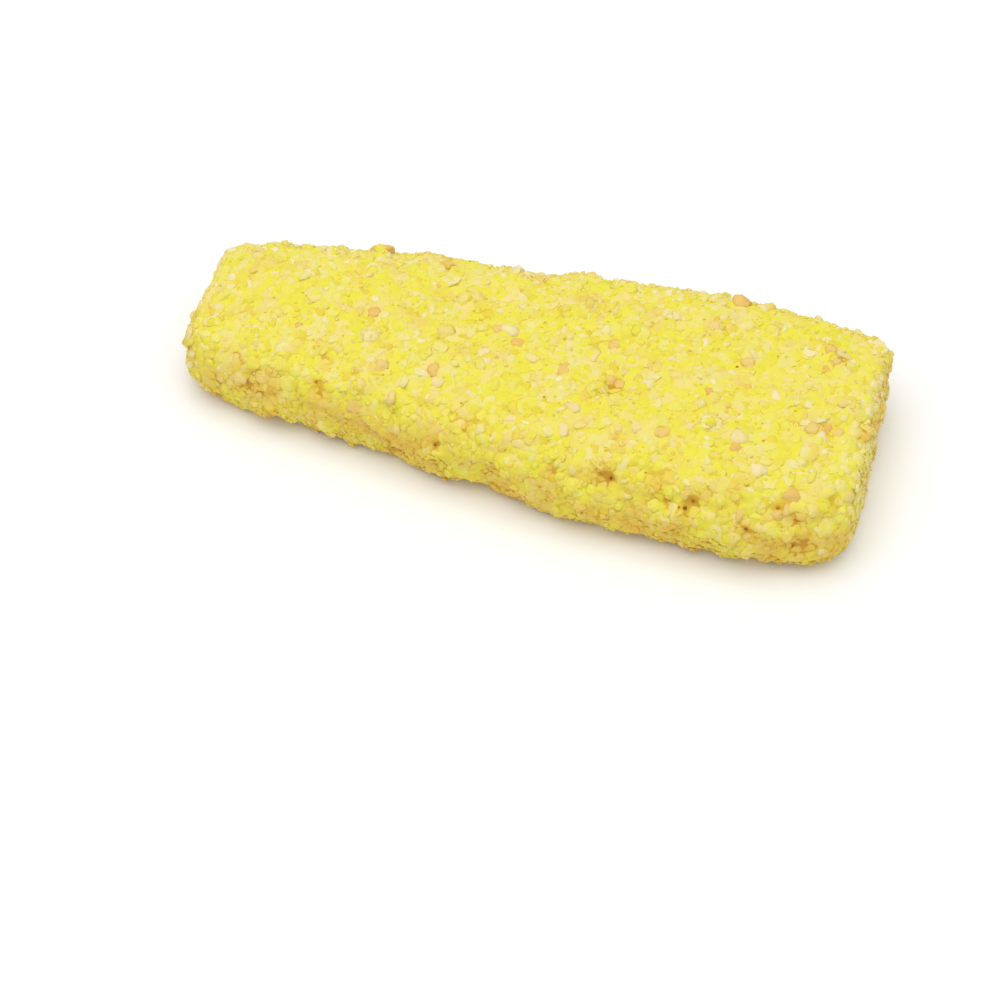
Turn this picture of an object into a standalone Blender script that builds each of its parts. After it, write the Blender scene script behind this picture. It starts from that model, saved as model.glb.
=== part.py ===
"""A breaded salmon fish finger: one bar of fish, closed all round by a coarse crumb crust.

It lies flat, with its broad end towards +X and the side with the broken edge towards -Y.
"""

import math
import random

import bmesh
import bpy
from mathutils import Matrix, Vector, noise

MM = 0.001
NODE_NAME = "fish_finger"

# The bar without its coarse crumbs
LENGTH = 109.0 * MM
HEIGHT = 15.8 * MM
RING_POINTS = 64
RING_COUNT = 90

# Plan outline: share of the length from the narrow end, then how far the side stands from the
# long axis. The far side has a shallow waist, the near side widens in two steps.
FAR_SIDE = (
    (0.00, 15.6 * MM),
    (0.14, 16.8 * MM),
    (0.30, 19.3 * MM),
    (0.42, 18.8 * MM),
    (0.56, 21.0 * MM),
    (0.78, 22.3 * MM),
    (1.00, 21.2 * MM),
)
NEAR_SIDE = (
    (0.00, 13.0 * MM),
    (0.15, 13.4 * MM),
    (0.30, 14.8 * MM),
    (0.46, 18.2 * MM),
    (0.60, 20.6 * MM),
    (0.85, 21.5 * MM),
    (1.00, 19.8 * MM),
)
TOP_LINE = (
    (0.00, 0.90 * HEIGHT),
    (0.20, 0.96 * HEIGHT),
    (0.40, 0.97 * HEIGHT),
    (0.70, 1.00 * HEIGHT),
    (1.00, 0.96 * HEIGHT),
)

# How square the shape is: a higher power gives a tighter corner. The ends keep part of the
# height, so that they are blunt with a soft rim.
END_HEIGHT_KEPT = 0.35
NARROW_END_POWER = 6.5
BROAD_END_POWER = 11.0
FAR_TOP_EDGE_POWER = 4.2
NEAR_TOP_EDGE_POWER = 3.3
LOWER_EDGE_POWER = 5.0

# The near side has a broken edge: a groove under the top crust and a lip that bulges below it
GROOVE_START = 0.50
GROOVE_GROWTH = 0.14
GROOVE_DEPTH = 1.3 * MM
GROOVE_HEIGHT = 0.76 * HEIGHT
GROOVE_SPREAD = 1.5 * MM
GROOVE_WANDER = 1.6 * MM
GROOVE_WANDER_PITCH = 12.0 * MM
LIP_BULGE = 0.45 * MM
LIP_WANDER = 0.55 * MM
LIP_HEIGHT = 0.36 * HEIGHT
LIP_SPREAD = 3.4 * MM

# Relief: pitch and height of the swellings, the crags and the single crumbs. A crumb has a flat
# top of its own height, which drops to its neighbours over a short slope. The crust's mean
# level is taken off, so that the bar keeps its size.
SURFACE_GRID = 1.84 * MM
SWELLING_PITCH = 15.0 * MM
SWELLING_HEIGHT = 0.6 * MM
CRAG_PITCH = 4.6 * MM
CRAG_HEIGHT = 0.5 * MM
CRUMB_PITCH = 2.6 * MM
CRUMB_HEIGHT = 1.0 * MM
LOWEST_CRUMB = 0.3
CRUMB_SLOPE = 0.35
CRUMB_MEAN = 0.35 * MM

# The underside was pressed on a tray: most crumbs end in one plane, with a bare spot mid-length
TRAY_PRESS = 0.22 * MM
BARE_SPOT_RADIUS = 8.0 * MM
BARE_SPOT_WANDER = 2.5 * MM
UNDERSIDE_SLOPE = -0.7

# Coarse crumbs that stand out of the top crust: place along and across the bar, and diameter
LARGE_CRUMBS = (
    (-28.8, 17.0, 3.4),
    (-26.1, 3.1, 2.2),
    (-29.1, -5.5, 2.3),
    (-21.8, -7.2, 2.2),
    (-13.6, -5.6, 2.5),
    (-12.6, -8.1, 2.2),
    (-6.3, 5.0, 2.6),
    (-3.8, 5.6, 2.5),
    (6.0, -0.5, 2.2),
    (12.5, 6.2, 2.4),
    (14.7, -0.7, 2.2),
    (28.8, 1.0, 2.3),
    (29.5, 20.6, 2.4),
    (33.5, 8.4, 2.3),
    (45.3, 14.2, 2.4),
    (46.4, 12.0, 2.2),
    (23.5, -8.9, 2.8),
    (35.2, -7.4, 3.2),
    (39.1, -11.6, 3.0),
    (47.0, -2.5, 2.6),
    (56.0, -1.0, 2.6),
    (-42.5, -14.0, 2.6),
    (-23.4, -15.4, 2.6),
    (-18.4, -16.8, 2.6),
    (-4.3, -16.5, 2.5),
)
SCATTERED_CRUMBS = 80
SCATTERED_DIAMETER = (2.1 * MM, 3.1 * MM)
SCATTER_CLEARANCE = 4.8 * MM
SCATTER_FLOOR = 2.6 * MM
CRUMB_BREADTH = (0.7, 1.0)
CRUMB_FLATNESS = (0.55, 0.85)
CRUMB_RAGGEDNESS = 0.18
CRUMB_SUNK = (0.05, 0.18)
SEED = 41

CRUST_COLOUR = (0.87, 0.76, 0.16, 1.0)
CRUST_ROUGHNESS = 0.75


def clear_scene():
    for obj in list(bpy.data.objects):
        bpy.data.objects.remove(obj)


def between(stations, share):
    """Value of a row of (share, value) stations, eased from each one to the next."""
    for (start, low), (end, high) in zip(stations, stations[1:]):
        if share <= end:
            step = (share - start) / (end - start)
            return low + (high - low) * step * step * (3 - 2 * step)
    return stations[-1][1]


def signed_power(value, power):
    return math.copysign(abs(value) ** power, value)


def edge_power(angle):
    """Squareness of the cross-section in a direction: 0 is the far side, a quarter turn is up."""
    if math.sin(angle) < 0:
        return LOWER_EDGE_POWER
    return FAR_TOP_EDGE_POWER if math.cos(angle) > 0 else NEAR_TOP_EDGE_POWER


def section_ring(share):
    """Points of the cross-section at a share of the length, from the far side over the top."""
    along = 2 * share - 1
    end_power = NARROW_END_POWER if along < 0 else BROAD_END_POWER
    shrink = (1 - abs(along) ** end_power) ** (1 / end_power)
    far, near = between(FAR_SIDE, share), between(NEAR_SIDE, share)
    middle, half_width = (far - near) / 2, (far + near) / 2 * shrink
    top = between(TOP_LINE, share)
    half_height = top / 2 * (END_HEIGHT_KEPT + (1 - END_HEIGHT_KEPT) * shrink)
    points = []
    for index in range(RING_POINTS):
        angle = 2 * math.pi * index / RING_POINTS
        power = edge_power(angle)
        across = half_width * signed_power(math.cos(angle), 2 / power)
        up = half_height * signed_power(math.sin(angle), 2 / power)
        points.append(Vector((along * LENGTH / 2, middle + across, top / 2 + up)))
    return points


def loft_bar():
    """The bar as rings from end to end, closer together towards the rounded ends."""
    bar = bmesh.new()
    rings = []
    for index in range(RING_COUNT):
        swing = math.pi * (index + 0.5) / RING_COUNT
        share = (1 - math.cos(swing)) / 2
        rings.append([bar.verts.new(point) for point in section_ring(share)])
    for ring, following in zip(rings, rings[1:]):
        for index in range(RING_POINTS):
            after = (index + 1) % RING_POINTS
            bar.faces.new((ring[index], ring[after], following[after], following[index]))
    bar.faces.new(rings[0][::-1])
    bar.faces.new(rings[-1])
    bmesh.ops.recalc_face_normals(bar, faces=bar.faces)
    return bar


def mesh_object(name, mesh_data):
    mesh = bpy.data.meshes.new(name)
    mesh_data.to_mesh(mesh)
    mesh_data.free()
    obj = bpy.data.objects.new(name, mesh)
    bpy.context.scene.collection.objects.link(obj)
    return obj


def apply_modifiers(obj):
    bpy.context.view_layer.update()
    graph = bpy.context.evaluated_depsgraph_get()
    finished = bpy.data.meshes.new_from_object(obj.evaluated_get(graph))
    obj.modifiers.clear()
    obj.data = finished


def even_grid(obj):
    """Replaces the lofted faces by an even grid, which the relief then moves."""
    remesh = obj.modifiers.new("even_grid", "REMESH")
    remesh.mode = "VOXEL"
    remesh.voxel_size = SURFACE_GRID
    apply_modifiers(obj)


def share_of_length(point):
    return point.x / LENGTH + 0.5


def bell(distance, spread):
    return math.exp(-((distance / spread) ** 2))


def broken_edge(point, normal):
    """Outward move of the near side: in at the groove, out at the lip below it."""
    facing = max(0.0, -normal.y)
    reach = min(1.0, max(0.0, (share_of_length(point) - GROOVE_START) / GROOVE_GROWTH))
    wander = noise.noise(Vector((point.x / GROOVE_WANDER_PITCH, 3.7, 0)))
    groove_line = GROOVE_HEIGHT + GROOVE_WANDER * wander
    groove = GROOVE_DEPTH * bell(point.z - groove_line, GROOVE_SPREAD)
    lip = (LIP_BULGE + LIP_WANDER * wander) * bell(point.z - LIP_HEIGHT, LIP_SPREAD)
    return facing * reach * (lip - groove)


def relief(point):
    """Outward move of the crust at a point: swellings, crags, and the crumb that lies there."""
    swelling = noise.noise(point / SWELLING_PITCH) * SWELLING_HEIGHT
    crag = noise.noise(point / CRAG_PITCH) * CRAG_HEIGHT
    (nearest, second, _, _), (middle, _, _, _) = noise.voronoi(point / CRUMB_PITCH)
    plateau = min(1.0, (second - nearest) / CRUMB_SLOPE)
    own_height = LOWEST_CRUMB + (1 - LOWEST_CRUMB) * noise.cell(middle / CRUMB_SLOPE)
    return swelling + crag + CRUMB_HEIGHT * plateau * own_height - CRUMB_MEAN


def bare_spot(place):
    """True inside the bare spot of the underside, whose edge wanders with the direction."""
    heading = Vector((place.x, place.y, 0)).normalized()
    wander = BARE_SPOT_WANDER * noise.noise(2 * heading)
    return math.hypot(place.x, place.y) < BARE_SPOT_RADIUS + wander


def raise_crust(obj):
    """Gives the even grid its broken edge and its relief, then presses the underside flat."""
    crust = bmesh.new()
    crust.from_mesh(obj.data)
    crust.normal_update()
    moved = []
    for vert in crust.verts:
        move = broken_edge(vert.co, vert.normal) + relief(vert.co)
        moved.append(vert.co + vert.normal * move)
    for vert, place in zip(crust.verts, moved):
        if vert.normal.z < UNDERSIDE_SLOPE:
            place.z = 0.0 if bare_spot(place) else place.z - TRAY_PRESS
        place.z = max(place.z, 0.0)
        vert.co = place
    crust.to_mesh(obj.data)
    crust.free()


def crumb_mesh(draw, diameter):
    """A ragged chunk of bread: a 20-sided ball, flattened and with its corners pulled about."""
    crumb = bmesh.new()
    bmesh.ops.create_icosphere(crumb, subdivisions=1, radius=diameter / 2)
    stretch = Vector((1, draw.uniform(*CRUMB_BREADTH), draw.uniform(*CRUMB_FLATNESS)))
    for vert in crumb.verts:
        pull = 1 + draw.uniform(-CRUMB_RAGGEDNESS, CRUMB_RAGGEDNESS)
        vert.co = Vector(a * b for a, b in zip(vert.co, stretch)) * pull
    return crumb


def seat(normal, turn):
    """Rotation that lays a crumb's flat side on the crust, turned about the surface normal."""
    return normal.to_track_quat("Z", "Y").to_matrix().to_4x4() @ Matrix.Rotation(turn, 4, "Z")


def place_crumb(collection, draw, spot, normal, diameter):
    sunk = spot - normal * diameter * draw.uniform(*CRUMB_SUNK)
    crumb = crumb_mesh(draw, diameter)
    crumb.transform(Matrix.Translation(sunk) @ seat(normal, draw.uniform(0, 2 * math.pi)))
    obj = mesh_object("crumb", crumb)
    bpy.context.scene.collection.objects.unlink(obj)
    collection.objects.link(obj)


def top_spot(obj, along, across):
    """The point of the crust nearest to a place on the top's plane, and the normal there."""
    found, spot, normal, _ = obj.closest_point_on_mesh(Vector((along, across, HEIGHT)))
    if not found:
        raise ValueError(f"no crust near {along}, {across}")
    return spot, normal


def scattered_spots(obj, draw, taken):
    """Vertices of the crust, in a drawn order, that are clear of every crumb before them."""
    order = list(range(len(obj.data.vertices)))
    draw.shuffle(order)
    spots = []
    for index in order:
        vert = obj.data.vertices[index]
        if vert.co.z < SCATTER_FLOOR:
            continue
        if all((vert.co - other).length > SCATTER_CLEARANCE for other in taken):
            taken.append(vert.co.copy())
            spots.append((vert.co.copy(), vert.normal.copy()))
        if len(spots) == SCATTERED_CRUMBS:
            break
    return spots


def fuse_crumbs(obj):
    """Joins the coarse crumbs to the crust, so that the finger stays one solid."""
    draw = random.Random(SEED)
    crumbs = bpy.data.collections.new("crumbs")
    bpy.context.scene.collection.children.link(crumbs)
    taken = []
    for along, across, diameter in LARGE_CRUMBS:
        spot, normal = top_spot(obj, along * MM, across * MM)
        taken.append(spot)
        place_crumb(crumbs, draw, spot, normal, diameter * MM)
    for spot, normal in scattered_spots(obj, draw, taken):
        place_crumb(crumbs, draw, spot, normal, draw.uniform(*SCATTERED_DIAMETER))
    union = obj.modifiers.new("fused_crumbs", "BOOLEAN")
    union.operation = "UNION"
    union.operand_type = "COLLECTION"
    union.collection = crumbs
    union.solver = "EXACT"
    apply_modifiers(obj)
    for crumb in list(crumbs.objects):
        bpy.data.objects.remove(crumb)
    bpy.data.collections.remove(crumbs)


def centre(obj):
    """Puts the origin under the middle of the finger, on the plane that it rests on."""
    xs = [vert.co.x for vert in obj.data.vertices]
    ys = [vert.co.y for vert in obj.data.vertices]
    middle = Vector(((min(xs) + max(xs)) / 2, (min(ys) + max(ys)) / 2, 0))
    obj.data.transform(Matrix.Translation(-middle))


def crust_material():
    material = bpy.data.materials.new("breadcrumb_crust")
    material.use_nodes = True
    shader = material.node_tree.nodes["Principled BSDF"]
    shader.inputs["Base Color"].default_value = CRUST_COLOUR
    shader.inputs["Roughness"].default_value = CRUST_ROUGHNESS
    shader.inputs["Metallic"].default_value = 0.0
    return material


def main():
    clear_scene()
    finger = mesh_object(NODE_NAME, loft_bar())
    even_grid(finger)
    raise_crust(finger)
    fuse_crumbs(finger)
    centre(finger)
    finger.data.materials.clear()
    finger.data.materials.append(crust_material())


if __name__ == "__main__":
    main()
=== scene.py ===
# %% [markdown]
# A fish finger is a bar of fish, dipped in a yellow batter, rolled in dry breadcrumbs and fried
# for a moment. What the eye meets is only the crust: thousands of pale crumbs, packed side by
# side and half sunk in the batter that glues them down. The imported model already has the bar's
# true form, so this script leaves the form alone and builds the crust on it.

# %% Load the frame
import math
import random

import bmesh
import bpy
import numpy
from mathutils import Matrix, Vector, noise
from mathutils.bvhtree import BVHTree


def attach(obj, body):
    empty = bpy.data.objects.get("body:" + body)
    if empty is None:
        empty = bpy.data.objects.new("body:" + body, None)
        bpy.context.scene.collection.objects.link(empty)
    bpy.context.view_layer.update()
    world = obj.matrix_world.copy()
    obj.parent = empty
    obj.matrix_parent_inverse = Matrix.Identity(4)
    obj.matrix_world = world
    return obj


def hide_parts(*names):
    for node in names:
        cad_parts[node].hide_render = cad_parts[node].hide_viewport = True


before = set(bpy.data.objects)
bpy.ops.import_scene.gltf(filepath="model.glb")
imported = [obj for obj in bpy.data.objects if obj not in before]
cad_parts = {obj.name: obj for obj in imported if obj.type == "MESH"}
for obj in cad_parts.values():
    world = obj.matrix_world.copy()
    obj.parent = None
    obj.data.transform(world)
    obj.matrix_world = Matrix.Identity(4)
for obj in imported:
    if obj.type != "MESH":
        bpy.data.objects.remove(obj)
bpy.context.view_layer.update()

MM = 0.001
NODE = "fish_finger"
BODY = "root"


def in_mm(point):
    """A point in millimetres, for printing."""
    return [round(value / MM, 1) for value in point]


def in_scene(name, data):
    """A new object with this data, linked to the scene."""
    obj = bpy.data.objects.new(name, data)
    bpy.context.scene.collection.objects.link(obj)
    return obj


# %% [markdown]
# The camera comes first, because some crumbs are placed by the pixel at which the photograph
# shows them. A long lens from half a metre gives the same weak perspective. It looks past the
# bar on purpose, so that the bar stands as high in the frame as it does in the photograph.

# %% Set the camera at the photograph's angle
FRAME_SIDE = 1000
SENSOR_MM = 36.0
AZIMUTH = math.radians(14)
ELEVATION = math.radians(50)
DISTANCE = 480 * MM
PIXELS_PER_MM = 6.35
AIM = Vector((2.4, -2.9, 7.0)) * MM
AIM_PIXEL = (538, 402)
NEAREST = 10 * MM

focal_pixels = PIXELS_PER_MM * DISTANCE / MM
to_camera = Vector((
    math.sin(AZIMUTH) * math.cos(ELEVATION),
    -math.cos(AZIMUTH) * math.cos(ELEVATION),
    math.sin(ELEVATION),
))
level = Vector((math.cos(AZIMUTH), math.sin(AZIMUTH), 0))
steep = to_camera.cross(level)
turn_right = (AIM_PIXEL[0] - FRAME_SIDE / 2) / focal_pixels
turn_down = (AIM_PIXEL[1] - FRAME_SIDE / 2) / focal_pixels
forward = (-to_camera - turn_right * level + turn_down * steep).normalized()
right = forward.cross(Vector((0, 0, 1))).normalized()
up = right.cross(forward)
eye = AIM + to_camera * DISTANCE

camera = in_scene("camera", bpy.data.cameras.new("camera"))
camera.data.sensor_width = SENSOR_MM
camera.data.lens = SENSOR_MM * focal_pixels / FRAME_SIDE
camera.data.clip_start = NEAREST
camera.matrix_world = Matrix((
    (right.x, up.x, -forward.x, eye.x),
    (right.y, up.y, -forward.y, eye.y),
    (right.z, up.z, -forward.z, eye.z),
    (0, 0, 0, 1),
))
bpy.context.scene.camera = camera
print("lens, mm:", round(camera.data.lens, 1))


# %% A ray through a pixel of the photograph
def pixel_ray(x, y):
    """Direction from the camera through a pixel, counted from the frame's top left corner."""
    across = (x - FRAME_SIDE / 2) / focal_pixels
    down = (y - FRAME_SIDE / 2) / focal_pixels
    return (forward + across * right - down * up).normalized()


print("one pixel at the bar, mm:", round(DISTANCE / focal_pixels / MM, 3))

# %% [markdown]
# Two small helpers serve every tree of nodes below. Colours are written as the sRGB hex values
# that a colour picker shows, and turned by the sRGB curve to the linear light that the renderer
# counts in. A noise texture's mean is one half, so half of what it adds is taken off again
# wherever it should only make things vary.

# %% Helpers for colours and nodes
def linear(hex_colour):
    """Linear RGBA of an sRGB colour such as F2E38A."""
    shares = [int(hex_colour[i:i + 2], 16) / 255 for i in (0, 2, 4)]
    return [
        share / 12.92 if share <= 0.04045 else ((share + 0.055) / 1.055) ** 2.4
        for share in shares
    ] + [1.0]


MATH = "ShaderNodeMath"
NOISE_MEAN = 0.5
# Mix and Random Value have sockets for several kinds of value, so these are told by number
SHARE, FIRST, SECOND, MIXED = 0, 6, 7, 2
LOW, HIGH, DRAWN = 2, 3, 1


def add_node(tree, kind, inputs, stops=(), **settings):
    """A node with its settings, its links or values by socket, and a ramp's colour stops."""
    node = tree.nodes.new(kind)
    for name, value in settings.items():
        setattr(node, name, value)
    for socket, value in inputs.items() if isinstance(inputs, dict) else enumerate(inputs):
        if isinstance(value, bpy.types.Node):
            value = value.outputs[0]
        if isinstance(value, bpy.types.NodeSocket):
            tree.links.new(value, node.inputs[socket])
        else:
            node.inputs[socket].default_value = value
    for place, colour in stops[1:-1]:
        node.color_ramp.elements.new(place).color = linear(colour)
    for end in (0, -1) if stops else ():
        place, colour = stops[end]
        node.color_ramp.elements[end].position = place
        node.color_ramp.elements[end].color = linear(colour)
    return node


print("pale crumb in linear light:", [round(share, 2) for share in linear("EADD84")[:3]])

# %% [markdown]
# The batter. Fried batter is starch and oil coloured by egg and turmeric or paprika. It is so
# light a yellow that what light falls into a gap comes out again yellower, and doesn't go grey.
# A little subsurface scattering softens it, but only a little: a crumb that is half buried would
# lose light through its buried side, and get a grey rim. Deep between the crumbs the batter is
# painted a darker, warmer gold, as painted shade in the gaps, darker in hollows and down the
# sides. In the pits it is painted ochre, partly burnt batter and partly painted shade. What varies
# over the bar comes as attributes, which are stored on its mesh further down.

# %% Material of the batter
GLOW_MM = (0.3, 0.28, 0.15)
GLOW_WEIGHT = 0.1
OILY_IOR = 1.45
OILY_SPECULAR = 0.22
DRY_ROUGHNESS = 0.6
BATTER_CLOUD_MM = 6.0
BATTER_CLOUD_TINT = 0.6
BATTER_GRAIN_MM = 0.35
BATTER_GRAIN_DEPTH_MM = 0.08
BATTER_BUMP = 0.12
GAP_WANDER = 0.5
GAP_EDGE = 0.22
PIT_BROWNING_AND_SHADE = 0.6
PIT_GAP = 0.8


def new_food_material(name):
    """A material with what is the same all over a starchy, slightly oily piece of food."""
    material = bpy.data.materials.new(name)
    material.use_nodes = True
    shader = material.node_tree.nodes["Principled BSDF"]
    shader.inputs["Roughness"].default_value = DRY_ROUGHNESS
    shader.inputs["IOR"].default_value = OILY_IOR
    shader.inputs["Specular IOR Level"].default_value = OILY_SPECULAR
    shader.inputs["Subsurface Weight"].default_value = GLOW_WEIGHT
    shader.inputs["Subsurface Radius"].default_value = GLOW_MM
    shader.inputs["Subsurface Scale"].default_value = MM
    return material, material.node_tree, shader


def finish_food(tree, shader, place, colour, grain_mm, grain_depth_mm, strength):
    """Gives the shader its colour, and a fine grain that only the light shows."""
    grain = add_node(tree, "ShaderNodeTexNoise", {
        "Vector": place,
        "Scale": 1 / (grain_mm * MM),
        "Detail": 2.0,
    })
    bump = add_node(tree, "ShaderNodeBump", {
        "Height": grain,
        "Strength": strength,
        "Distance": grain_depth_mm * MM,
    })
    tree.links.new(colour, shader.inputs["Base Color"])
    tree.links.new(bump.outputs["Normal"], shader.inputs["Normal"])


def fried_batter():
    """Matt yellow crust with a faint oily sheen, gaps golden with painted shade, ochre pits."""
    material, tree, shader = new_food_material("fried_batter")
    stored = {
        name: add_node(tree, "ShaderNodeAttribute", {}, attribute_name=name).outputs["Fac"]
        for name in ("height", "tone", "fried", "hollow", "pit")
    }
    place = add_node(tree, "ShaderNodeTexCoord", {}).outputs["Object"]
    clouds = add_node(tree, "ShaderNodeTexNoise", {
        "Vector": place,
        "Scale": 1 / (BATTER_CLOUD_MM * MM),
        "Detail": 3.0,
    })
    tone = add_node(
        tree, MATH, (stored["tone"], -BATTER_CLOUD_TINT * NOISE_MEAN), operation="ADD"
    )
    tone = add_node(tree, MATH, (clouds, BATTER_CLOUD_TINT, tone), operation="MULTIPLY_ADD")
    crumb = add_node(tree, "ShaderNodeValToRGB", (tone,), stops=(
        (0.00, "E6DC44"), (0.35, "E8DF4C"), (0.60, "E9DC66"), (1.00, "EADA88"),
    ))
    # Browning round the pits and down the sides, partly painted shade
    toast = add_node(
        tree, MATH, (stored["pit"], PIT_BROWNING_AND_SHADE, stored["fried"]), operation="MULTIPLY_ADD"
    )
    golden = add_node(tree, "ShaderNodeMix", {
        SHARE: toast, FIRST: crumb, SECOND: linear("E4C256"),
    }, data_type="RGBA").outputs[MIXED]

    # Painted shade: the gap colour goes darker gold in hollows, down the sides and round the pits
    shade_and_browning = add_node(tree, MATH, (stored["hollow"], stored["fried"]), operation="ADD")
    shade_and_browning = add_node(
        tree, MATH, (stored["pit"], PIT_BROWNING_AND_SHADE, shade_and_browning), operation="MULTIPLY_ADD"
    )
    gap_shade_colour = add_node(tree, "ShaderNodeValToRGB", (shade_and_browning,), stops=(
        (0.00, "DEC840"), (0.40, "D6B034"), (1.00, "CA9832"),
    ))
    # The gap mask: the low places between crumbs, and the pits, get the painted gap shade
    depth = add_node(tree, MATH, (stored["height"], -GAP_WANDER * NOISE_MEAN), operation="ADD")
    depth = add_node(tree, MATH, (clouds, GAP_WANDER, depth), operation="MULTIPLY_ADD")
    depth = add_node(tree, MATH, (stored["pit"], -PIT_GAP, depth), operation="MULTIPLY_ADD")
    gap = add_node(tree, "ShaderNodeValToRGB", (depth,), stops=(
        (0.00, "FFFFFF"), (GAP_EDGE, "000000"),
    ))
    colour = add_node(tree, "ShaderNodeMix", {
        SHARE: gap, FIRST: golden, SECOND: gap_shade_colour,
    }, data_type="RGBA").outputs[MIXED]
    finish_food(
        tree, shader, place, colour, BATTER_GRAIN_MM, BATTER_GRAIN_DEPTH_MM, BATTER_BUMP
    )
    return material


batter = fried_batter()
print("made material:", batter.name)

# %% [markdown]
# The core of the crust is the imported bar itself. Its coarse triangles are remade as an even grid
# and smoothed until their edges melt. A first tree of Geometry Nodes surveys the core, as a cook
# would: it stores how deep in a hollow each place lies, which later paints shade into the
# hollows, and how far it has browned, which also paints shade down the sides, and it raises the
# lumps that batter forms where it has run down the sides. How deep a place lies is measured by
# blurring the surface: where the blurred surface is above the true one, there is a hollow.

# %% The survey as a tree of nodes
def new_tree(name, inputs):
    """A tree with named inputs, and the nodes at its two ends."""
    tree = bpy.data.node_groups.new(name, "GeometryNodeTree")
    for label, kind in inputs:
        tree.interface.new_socket(label, in_out="INPUT", socket_type="NodeSocket" + kind)
    tree.interface.new_socket("Result", in_out="OUTPUT", socket_type="NodeSocketGeometry")
    return tree, tree.nodes.new("NodeGroupInput").outputs, tree.nodes.new("NodeGroupOutput")


def close_tree(tree, given, geometry, result):
    """Ends a tree: instances made real, because an export drops them, and the material set."""
    realized = add_node(tree, "GeometryNodeRealizeInstances", (geometry,))
    dressed = add_node(tree, "GeometryNodeSetMaterial", {
        "Geometry": realized,
        "Material": given["Material"],
    })
    tree.links.new(dressed.outputs[0], result.inputs[0])


def pressed_up(tree, position, lowest):
    """The position, with its height raised to the lowest that the tray allows."""
    parts = add_node(tree, "ShaderNodeSeparateXYZ", (position,)).outputs
    height = add_node(tree, MATH, (parts["Z"], lowest), operation="MAXIMUM")
    return add_node(tree, "ShaderNodeCombineXYZ", (parts["X"], parts["Y"], height))


def survey_tree():
    """Stores hollow depth for painted shade, frying with painted side shade, and swells a little.
    """
    tree, given, result = new_tree("crust_survey", (
        ("Geometry", "Geometry"),
        ("Swell", "Float"),
        ("Blur steps", "Int"),
        ("Full depth", "Float"),
        ("Patch size", "Float"),
        ("Patch level", "Float"),
        ("Patch contrast", "Float"),
        ("Side toast", "Float"),
        ("Lump size", "Float"),
        ("Lump height", "Float"),
        ("Material", "Material"),
    ))
    position = add_node(tree, "GeometryNodeInputPosition", {})
    normal = add_node(tree, "GeometryNodeInputNormal", {})
    # How deep each place lies in a hollow, which later paints shade into the hollows
    blurred = add_node(tree, "GeometryNodeBlurAttribute", {
        "Value": position,
        "Iterations": given["Blur steps"],
    }, data_type="FLOAT_VECTOR")
    rise = add_node(tree, "ShaderNodeVectorMath", (blurred, position), operation="SUBTRACT")
    depth = add_node(tree, "ShaderNodeVectorMath", (rise, normal), operation="DOT_PRODUCT")
    share = add_node(
        tree, MATH, (depth.outputs["Value"], given["Full depth"]), operation="DIVIDE"
    )
    surveyed = add_node(tree, "GeometryNodeStoreNamedAttribute", {
        "Geometry": given["Geometry"],
        "Name": "hollow",
        "Value": add_node(tree, "ShaderNodeClamp", (share,)),
    })

    facing = add_node(tree, "ShaderNodeSeparateXYZ", (normal,)).outputs["Z"]
    upright = add_node(tree, MATH, (1.0, facing), operation="SUBTRACT")
    fineness = add_node(tree, MATH, (1.0, given["Patch size"]), operation="DIVIDE")
    patches = add_node(tree, "ShaderNodeTexNoise", {
        "Vector": position,
        "Scale": fineness,
        "Detail": 2.0,
    })
    patched = add_node(tree, MATH, (patches, given["Patch level"]), operation="SUBTRACT")
    patched = add_node(tree, MATH, (patched, given["Patch contrast"]), operation="MULTIPLY")
    # Painted shade down the sides, by how upright the crust is, added to frying in random patches
    fried = add_node(tree, MATH, (upright, given["Side toast"], patched), operation="MULTIPLY_ADD")
    surveyed = add_node(tree, "GeometryNodeStoreNamedAttribute", {
        "Geometry": surveyed,
        "Name": "fried",
        "Value": fried,
    })

    lump_fineness = add_node(tree, MATH, (1.0, given["Lump size"]), operation="DIVIDE")
    lumps = add_node(tree, "ShaderNodeTexNoise", {
        "Vector": position,
        "Scale": lump_fineness,
        "Detail": 1.0,
    })
    lumps = add_node(tree, MATH, (lumps, NOISE_MEAN), operation="SUBTRACT")
    lumps = add_node(tree, MATH, (lumps, given["Lump height"]), operation="MULTIPLY")
    on_sides = add_node(tree, "ShaderNodeClamp", (upright,))
    swell = add_node(tree, MATH, (lumps, on_sides, given["Swell"]), operation="MULTIPLY_ADD")
    offset = add_node(tree, "ShaderNodeVectorMath", {0: normal, "Scale": swell}, operation="SCALE")
    swollen = add_node(tree, "GeometryNodeSetPosition", {"Geometry": surveyed, "Offset": offset})
    close_tree(tree, given, swollen, result)
    return tree


crust_survey = survey_tree()
print("nodes in the survey tree:", len(crust_survey.nodes))

# %% [markdown]
# A second tree raises the relief of crumbs too fine to be worth a piece each. Voronoi cells are a
# fair model of crumbs pressed side by side: each cell is one crumb with a height of its own, and
# the edges between cells are the gaps. Where the bar lies on the tray the crust is pressed flat.

# %% The relief as a tree of nodes
PLATEAU_STEEPNESS = 6.0
OWN_HEIGHT = 0.6


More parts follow.
